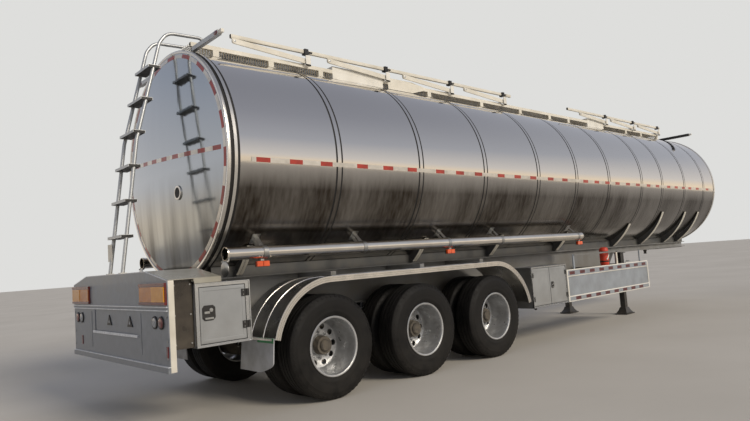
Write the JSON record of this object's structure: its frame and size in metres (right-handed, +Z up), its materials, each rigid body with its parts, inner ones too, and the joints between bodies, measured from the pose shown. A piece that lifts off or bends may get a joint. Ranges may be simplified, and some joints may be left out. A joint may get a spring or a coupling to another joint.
{
  "type": "tanker semi-trailer",
  "caption": "Round-bodied tanker semi-trailer on axles with twin wheels and landing legs, with top walkway, folding handrails, ladder, toolboxes and hose tubes.",
  "frame": {"origin": "middle of the whole trailer's footprint box, on the ground", "axes": "+X forward to the coupling end, +Y to the left, +Z up"},
  "size_m": [12.745, 2.5, 3.8823],
  "materials": {
    "tyre_rubber": "matte",
    "rim_steel": "satin",
    "tank_cladding": "polished",
    "frame_paint": "satin",
    "dark_steel": "satin",
    "bare_aluminium": "satin",
    "panel_grey": "satin",
    "lamp_amber": "gloss",
    "lamp_orange": "gloss",
    "extinguisher_red": "gloss",
    "flap_rubber": "matte"
  },
  "bodies": {
    "trailer": {"tank": "tank_cladding", "chassis_rails": "frame_paint", "cross_beams": "frame_paint", "chassis_brackets": "frame_paint", "coupler_plate": "dark_steel", "landing_legs": "dark_steel", "tank_supports": "bare_aluminium", "rear_panel": "panel_grey", "rear_deck": "panel_grey", "tail_lamps": "lamp_amber", "ladder": "bare_aluminium", "walkway": "bare_aluminium", "manholes": "bare_aluminium", "outline_lamp_arms": "frame_paint", "hose_tubes": "bare_aluminium", "side_marker_lamps": "lamp_orange", "fenders": "bare_aluminium", "mud_flaps": "flap_rubber", "rear_boxes": "panel_grey", "front_boxes": "panel_grey", "side_guards": "panel_grey", "extinguishers": "extinguisher_red", "leaf_springs": "dark_steel", "axle_beams": "dark_steel", "air_reservoirs": "dark_steel", "discharge_outlet": "bare_aluminium"},
    "wheels_rear_right": {"tyres_rear_right": "tyre_rubber", "rims_rear_right": "rim_steel"},
    "wheels_rear_left": {"tyres_rear_left": "tyre_rubber", "rims_rear_left": "rim_steel"},
    "wheels_middle_right": {"tyres_middle_right": "tyre_rubber", "rims_middle_right": "rim_steel"},
    "wheels_middle_left": {"tyres_middle_left": "tyre_rubber", "rims_middle_left": "rim_steel"},
    "wheels_front_right": {"tyres_front_right": "tyre_rubber", "rims_front_right": "rim_steel"},
    "wheels_front_left": {"tyres_front_left": "tyre_rubber", "rims_front_left": "rim_steel"},
    "manhole_lid_rear": {"manhole_lid_rear": "bare_aluminium"},
    "manhole_lid_front": {"manhole_lid_front": "bare_aluminium"},
    "rail_hoop_rear_1": {"rail_hoop_rear_1": "bare_aluminium"},
    "rail_hoop_rear_2": {"rail_hoop_rear_2": "bare_aluminium"},
    "rail_hoop_rear_3": {"rail_hoop_rear_3": "bare_aluminium"},
    "rail_hoop_rear_4": {"rail_hoop_rear_4": "bare_aluminium"},
    "handrail_rear": {"handrail_rear": "bare_aluminium"},
    "rail_hoop_front_1": {"rail_hoop_front_1": "bare_aluminium"},
    "rail_hoop_front_2": {"rail_hoop_front_2": "bare_aluminium"},
    "rail_hoop_front_3": {"rail_hoop_front_3": "bare_aluminium"},
    "handrail_front": {"handrail_front": "bare_aluminium"},
    "hose_cap_right": {"hose_cap_right": "bare_aluminium"},
    "hose_cap_left": {"hose_cap_left": "bare_aluminium"},
    "rear_box_door_right": {"rear_box_door_right": "panel_grey"},
    "rear_box_door_left": {"rear_box_door_left": "panel_grey"},
    "front_box_door_a_right": {"front_box_door_a_right": "panel_grey"},
    "front_box_door_a_left": {"front_box_door_a_left": "panel_grey"},
    "front_box_door_b_right": {"front_box_door_b_right": "panel_grey"},
    "front_box_door_b_left": {"front_box_door_b_left": "panel_grey"}
  },
  "joints": [
    {"name": "roll_rear_right", "type": "hinge", "parent": "trailer", "child": "wheels_rear_right", "pos_m": [-4.6575, -0.94, 0.52], "axis": [0, 1, 0], "continuous": true},
    {"name": "roll_rear_left", "type": "hinge", "parent": "trailer", "child": "wheels_rear_left", "pos_m": [-4.6575, 0.94, 0.52], "axis": [0, 1, 0], "continuous": true},
    {"name": "roll_middle_right", "type": "hinge", "parent": "trailer", "child": "wheels_middle_right", "pos_m": [-3.3375, -0.94, 0.52], "axis": [0, 1, 0], "continuous": true},
    {"name": "roll_middle_left", "type": "hinge", "parent": "trailer", "child": "wheels_middle_left", "pos_m": [-3.3375, 0.94, 0.52], "axis": [0, 1, 0], "continuous": true},
    {"name": "roll_front_right", "type": "hinge", "parent": "trailer", "child": "wheels_front_right", "pos_m": [-2.0175, -0.94, 0.52], "axis": [0, 1, 0], "continuous": true},
    {"name": "roll_front_left", "type": "hinge", "parent": "trailer", "child": "wheels_front_left", "pos_m": [-2.0175, 0.94, 0.52], "axis": [0, 1, 0], "continuous": true},
    {"name": "lid_rear", "type": "hinge", "parent": "trailer", "child": "manhole_lid_rear", "pos_m": [-3.0925, 0, 3.735], "axis": [0, 1, 0], "range_deg": [0, 100]},
    {"name": "lid_front", "type": "hinge", "parent": "trailer", "child": "manhole_lid_front", "pos_m": [2.9575, 0, 3.735], "axis": [0, 1, 0], "range_deg": [0, 100]},
    {"name": "fold_rear_1", "type": "hinge", "parent": "trailer", "child": "rail_hoop_rear_1", "pos_m": [-4.1975, 0, 3.725], "axis": [0, 1, 0], "range_deg": [0, 84]},
    {"name": "fold_rear_2", "type": "hinge", "parent": "trailer", "child": "rail_hoop_rear_2", "pos_m": [-2.9075, 0, 3.725], "axis": [0, 1, 0], "range_deg": [0, 84]},
    {"name": "fold_rear_3", "type": "hinge", "parent": "trailer", "child": "rail_hoop_rear_3", "pos_m": [-1.6175, 0, 3.725], "axis": [0, 1, 0], "range_deg": [0, 84]},
    {"name": "fold_rear_4", "type": "hinge", "parent": "trailer", "child": "rail_hoop_rear_4", "pos_m": [-0.3275, 0, 3.725], "axis": [0, 1, 0], "range_deg": [0, 84]},
    {"name": "level_rear", "type": "hinge", "parent": "rail_hoop_rear_1", "child": "handrail_rear", "pos_m": [-5.1475, 0, 3.79], "axis": [0, 1, 0], "range_deg": [-84, 0]},
    {"name": "fold_front_1", "type": "hinge", "parent": "trailer", "child": "rail_hoop_front_1", "pos_m": [3.0425, 0, 3.725], "axis": [0, 1, 0], "range_deg": [0, 84]},
    {"name": "fold_front_2", "type": "hinge", "parent": "trailer", "child": "rail_hoop_front_2", "pos_m": [4.2425, 0, 3.725], "axis": [0, 1, 0], "range_deg": [0, 84]},
    {"name": "fold_front_3", "type": "hinge", "parent": "trailer", "child": "rail_hoop_front_3", "pos_m": [5.4425, 0, 3.725], "axis": [0, 1, 0], "range_deg": [0, 84]},
    {"name": "level_front", "type": "hinge", "parent": "rail_hoop_front_1", "child": "handrail_front", "pos_m": [2.0925, 0, 3.79], "axis": [0, 1, 0], "range_deg": [-84, 0]},
    {"name": "cap_right", "type": "hinge", "parent": "trailer", "child": "hose_cap_right", "pos_m": [-5.6865, -1, 1.424], "axis": [0, 1, 0], "range_deg": [0, 180]},
    {"name": "cap_left", "type": "hinge", "parent": "trailer", "child": "hose_cap_left", "pos_m": [-5.6865, 1, 1.424], "axis": [0, 1, 0], "range_deg": [0, 180]},
    {"name": "swing_rear_box_door_right", "type": "hinge", "parent": "trailer", "child": "rear_box_door_right", "pos_m": [-5.6225, -1.242, 0.9], "axis": [0, 0, 1], "range_deg": [0, 110]},
    {"name": "swing_rear_box_door_left", "type": "hinge", "parent": "trailer", "child": "rear_box_door_left", "pos_m": [-5.6225, 1.242, 0.9], "axis": [0, 0, -1], "range_deg": [0, 110]},
    {"name": "swing_front_box_door_a_right", "type": "hinge", "parent": "trailer", "child": "front_box_door_a_right", "pos_m": [-1.1405, -1.242, 0.9], "axis": [0, 0, -1], "range_deg": [0, 110]},
    {"name": "swing_front_box_door_a_left", "type": "hinge", "parent": "trailer", "child": "front_box_door_a_left", "pos_m": [-1.1405, 1.242, 0.9], "axis": [0, 0, 1], "range_deg": [0, 110]},
    {"name": "swing_front_box_door_b_right", "type": "hinge", "parent": "trailer", "child": "front_box_door_b_right", "pos_m": [-0.2745, -1.242, 0.9], "axis": [0, 0, 1], "range_deg": [0, 110]},
    {"name": "swing_front_box_door_b_left", "type": "hinge", "parent": "trailer", "child": "front_box_door_b_left", "pos_m": [-0.2745, 1.242, 0.9], "axis": [0, 0, -1], "range_deg": [0, 110]}
  ],
  "couplings": [
    {"joint": "fold_rear_2", "follows": "fold_rear_1", "ratio": 1},
    {"joint": "fold_rear_3", "follows": "fold_rear_1", "ratio": 1},
    {"joint": "fold_rear_4", "follows": "fold_rear_1", "ratio": 1},
    {"joint": "level_rear", "follows": "fold_rear_1", "ratio": -1},
    {"joint": "fold_front_2", "follows": "fold_front_1", "ratio": 1},
    {"joint": "fold_front_3", "follows": "fold_front_1", "ratio": 1},
    {"joint": "level_front", "follows": "fold_front_1", "ratio": -1}
  ]
}
